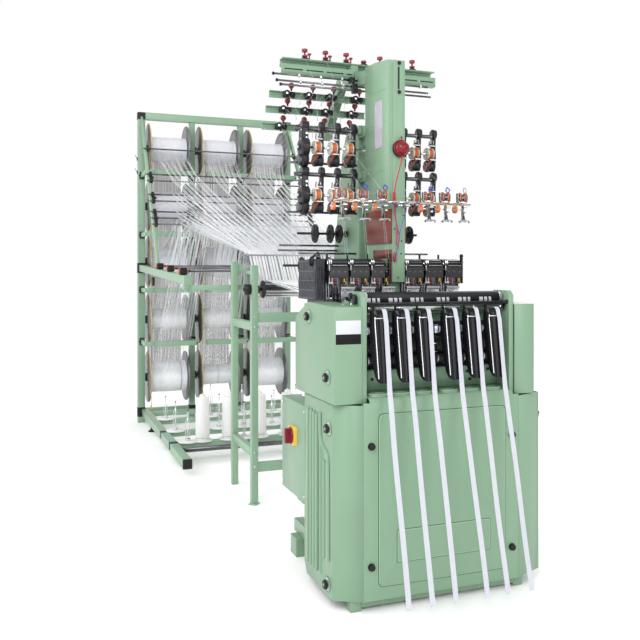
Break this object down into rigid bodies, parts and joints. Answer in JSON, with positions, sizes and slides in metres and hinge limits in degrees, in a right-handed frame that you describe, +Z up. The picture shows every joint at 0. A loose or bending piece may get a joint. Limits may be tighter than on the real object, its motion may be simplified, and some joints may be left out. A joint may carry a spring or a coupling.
{
  "type": "elastic loom",
  "caption": "Narrow fabric needle loom for elastic tapes, with tension tower, yarn feeders, warp stand and a beam creel behind it",
  "frame": {"origin": "on the floor, under the middle of the whole footprint: loom, stand and creel together", "axes": "+Z up; +Y from the loom's front panel back to the creel; +X to the right of someone who faces the front panel"},
  "size_m": [1.145, 3.7854, 2.22],
  "materials": {
    "green_paint": "semi-gloss enamel",
    "black_plastic": "moulded, satin",
    "black_steel": "satin black",
    "black_gloss": "glossy black",
    "bright_steel": "bright ground steel",
    "grey_steel": "turned and brushed",
    "brown_laminate": "laminated board",
    "white_yarn": "wound yarn",
    "white_elastic": "ribbed woven elastic",
    "black_rubber": "ground rubber cover",
    "red_gloss": "glossy red",
    "yellow_rope": "twisted rope",
    "white_enamel": "white enamel",
    "orange_plastic": "moulded orange",
    "motor_paint": "motor enamel",
    "white_ceramic": "glazed white",
    "red_lead": "red lead sheath",
    "clear_plate": "clear acrylic sheet"
  },
  "bodies": {
    "root": {"creel_frame": "green_paint", "beam_bearings": "black_plastic", "creel_rods": "bright_steel", "brake_cords": "yellow_rope", "cone_plates": "white_enamel", "yarn_cones": "white_yarn", "stand_frame": "green_paint", "guard_plate": "clear_plate", "machine_frame": "green_paint", "front_panel": "green_paint", "lower_cover_left": "green_paint", "lower_cover_right": "green_paint", "upper_cover_left": "green_paint", "upper_cover_right": "green_paint", "cover_knobs": "black_plastic", "comb_bar": "black_steel", "tape_guides": "black_gloss", "elastic_tapes": "white_elastic", "heald_rack": "black_steel", "motor": "motor_paint", "drive_belt": "black_rubber", "control_box": "green_paint", "tower_column": "green_paint", "tower_panels": "brown_laminate", "rear_column": "green_paint", "signal_lamp": "red_gloss", "tension_bars": "green_paint", "thread_tensioners": "black_plastic", "guide_rods": "bright_steel", "feeder_brackets": "black_steel", "thread_sensors": "white_ceramic", "lamp_lead": "red_lead"},
    "take_up": {"take_up_roller": "grey_steel"},
    "press_roller": {"pressure_roller": "black_rubber"},
    "stand_roller": {"warp_roller": "bright_steel"},
    "drive_shaft": {"main_shaft": "grey_steel"},
    "motor_shaft": {"motor_pulley": "grey_steel"},
    "feeders_upper": {"feed_wheels_upper": "orange_plastic"},
    "feeders_lower": {"feed_wheels_lower": "orange_plastic"},
    "healds_odd": {"heald_frames_odd": "grey_steel"},
    "healds_even": {"heald_frames_even": "grey_steel"},
    "batten": {"sley": "grey_steel"},
    "needles": {"needle_bar": "bright_steel"},
    "box_door": {"control_box_door": "green_paint"},
    "main_switch": {"switch_handle": "red_gloss"},
    "beam_r1c1": {"warp_beam_r1c1": "grey_steel"},
    "beam_r1c2": {"warp_beam_r1c2": "grey_steel"},
    "beam_r1c3": {"warp_beam_r1c3": "grey_steel"},
    "beam_r2c1": {"warp_beam_r2c1": "grey_steel"},
    "beam_r2c2": {"warp_beam_r2c2": "grey_steel"},
    "beam_r2c3": {"warp_beam_r2c3": "grey_steel"},
    "beam_r3c1": {"warp_beam_r3c1": "grey_steel"},
    "beam_r3c2": {"warp_beam_r3c2": "grey_steel"},
    "beam_r3c3": {"warp_beam_r3c3": "grey_steel"},
    "beam_r4c1": {"warp_beam_r4c1": "grey_steel"},
    "beam_r4c2": {"warp_beam_r4c2": "grey_steel"},
    "beam_r4c3": {"warp_beam_r4c3": "grey_steel"},
    "beam_r5c1": {"warp_beam_r5c1": "grey_steel"},
    "beam_r5c2": {"warp_beam_r5c2": "grey_steel"},
    "beam_r5c3": {"warp_beam_r5c3": "grey_steel"}
  },
  "joints": [
    {"name": "beam_r1c1_turn", "type": "hinge", "parent": "root", "child": "beam_r1c1", "pos_m": [-0.365, 1.70815, 1.96], "axis": [1, 0, 0], "continuous": true},
    {"name": "beam_r1c2_turn", "type": "hinge", "parent": "root", "child": "beam_r1c2", "pos_m": [0, 1.70815, 1.96], "axis": [1, 0, 0], "continuous": true},
    {"name": "beam_r1c3_turn", "type": "hinge", "parent": "root", "child": "beam_r1c3", "pos_m": [0.365, 1.70815, 1.96], "axis": [1, 0, 0], "continuous": true},
    {"name": "beam_r2c1_turn", "type": "hinge", "parent": "root", "child": "beam_r2c1", "pos_m": [-0.365, 1.70815, 1.545], "axis": [1, 0, 0], "continuous": true},
    {"name": "beam_r2c2_turn", "type": "hinge", "parent": "root", "child": "beam_r2c2", "pos_m": [0, 1.70815, 1.545], "axis": [1, 0, 0], "continuous": true},
    {"name": "beam_r2c3_turn", "type": "hinge", "parent": "root", "child": "beam_r2c3", "pos_m": [0.365, 1.70815, 1.545], "axis": [1, 0, 0], "continuous": true},
    {"name": "beam_r3c1_turn", "type": "hinge", "parent": "root", "child": "beam_r3c1", "pos_m": [-0.365, 1.70815, 1.15], "axis": [1, 0, 0], "continuous": true},
    {"name": "beam_r3c2_turn", "type": "hinge", "parent": "root", "child": "beam_r3c2", "pos_m": [0, 1.70815, 1.15], "axis": [1, 0, 0], "continuous": true},
    {"name": "beam_r3c3_turn", "type": "hinge", "parent": "root", "child": "beam_r3c3", "pos_m": [0.365, 1.70815, 1.15], "axis": [1, 0, 0], "continuous": true},
    {"name": "beam_r4c1_turn", "type": "hinge", "parent": "root", "child": "beam_r4c1", "pos_m": [-0.365, 1.70815, 0.733], "axis": [1, 0, 0], "continuous": true},
    {"name": "beam_r4c2_turn", "type": "hinge", "parent": "root", "child": "beam_r4c2", "pos_m": [0, 1.70815, 0.733], "axis": [1, 0, 0], "continuous": true},
    {"name": "beam_r4c3_turn", "type": "hinge", "parent": "root", "child": "beam_r4c3", "pos_m": [0.365, 1.70815, 0.733], "axis": [1, 0, 0], "continuous": true},
    {"name": "beam_r5c1_turn", "type": "hinge", "parent": "root", "child": "beam_r5c1", "pos_m": [-0.365, 1.70815, 0.32], "axis": [1, 0, 0], "continuous": true},
    {"name": "beam_r5c2_turn", "type": "hinge", "parent": "root", "child": "beam_r5c2", "pos_m": [0, 1.70815, 0.32], "axis": [1, 0, 0], "continuous": true},
    {"name": "beam_r5c3_turn", "type": "hinge", "parent": "root", "child": "beam_r5c3", "pos_m": [0.365, 1.70815, 0.32], "axis": [1, 0, 0], "continuous": true},
    {"name": "take_up_turn", "type": "hinge", "parent": "root", "child": "take_up", "pos_m": [-0.015, -1.58336, 0.975], "axis": [1, 0, 0], "continuous": true},
    {"name": "press_roller_turn", "type": "hinge", "parent": "root", "child": "press_roller", "pos_m": [-0.015, -1.62685, 0.997], "axis": [1, 0, 0], "continuous": true},
    {"name": "stand_roller_turn", "type": "hinge", "parent": "root", "child": "stand_roller", "pos_m": [-0.015, -0.46086, 1], "axis": [1, 0, 0], "continuous": true},
    {"name": "drive_shaft_turn", "type": "hinge", "parent": "root", "child": "drive_shaft", "pos_m": [-0.015, -1.37186, 0.5], "axis": [1, 0, 0], "continuous": true},
    {"name": "motor_turn", "type": "hinge", "parent": "root", "child": "motor_shaft", "pos_m": [-0.015, -1.27185, 0.18], "axis": [1, 0, 0], "continuous": true},
    {"name": "feeders_upper_turn", "type": "hinge", "parent": "root", "child": "feeders_upper", "pos_m": [-0.015, -1.15186, 1.561], "axis": [1, 0, 0], "continuous": true},
    {"name": "feeders_lower_turn", "type": "hinge", "parent": "root", "child": "feeders_lower", "pos_m": [-0.015, -1.15186, 1.378], "axis": [1, 0, 0], "continuous": true},
    {"name": "batten_swing", "type": "hinge", "parent": "root", "child": "batten", "pos_m": [-0.015, -1.41685, 0.7], "axis": [1, 0, 0], "range_deg": [-7, 7]},
    {"name": "healds_odd_lift", "type": "slide", "parent": "root", "child": "healds_odd", "axis": [0, 0, 1], "range_m": [-0.018, 0.018]},
    {"name": "healds_even_lift", "type": "slide", "parent": "root", "child": "healds_even", "axis": [0, 0, 1], "range_m": [-0.018, 0.018]},
    {"name": "needle_stroke", "type": "slide", "parent": "root", "child": "needles", "axis": [1, 0, 0], "range_m": [-0.022, 0.022]},
    {"name": "box_door_swing", "type": "hinge", "parent": "root", "child": "box_door", "pos_m": [-0.38475, -1.12186, 0.441], "axis": [0, 0, -1], "range_deg": [0, 110]},
    {"name": "main_switch_turn", "type": "hinge", "parent": "box_door", "child": "main_switch", "pos_m": [-0.404, -1.26436, 0.4875], "axis": [1, 0, 0], "range_deg": [0, 90]}
  ],
  "couplings": [
    {"joint": "press_roller_turn", "follows": "take_up_turn", "ratio": -1.2857},
    {"joint": "motor_turn", "follows": "drive_shaft_turn", "ratio": 2.5},
    {"joint": "feeders_lower_turn", "follows": "feeders_upper_turn", "ratio": 1},
    {"joint": "healds_even_lift", "follows": "healds_odd_lift", "ratio": -1}
  ]
}
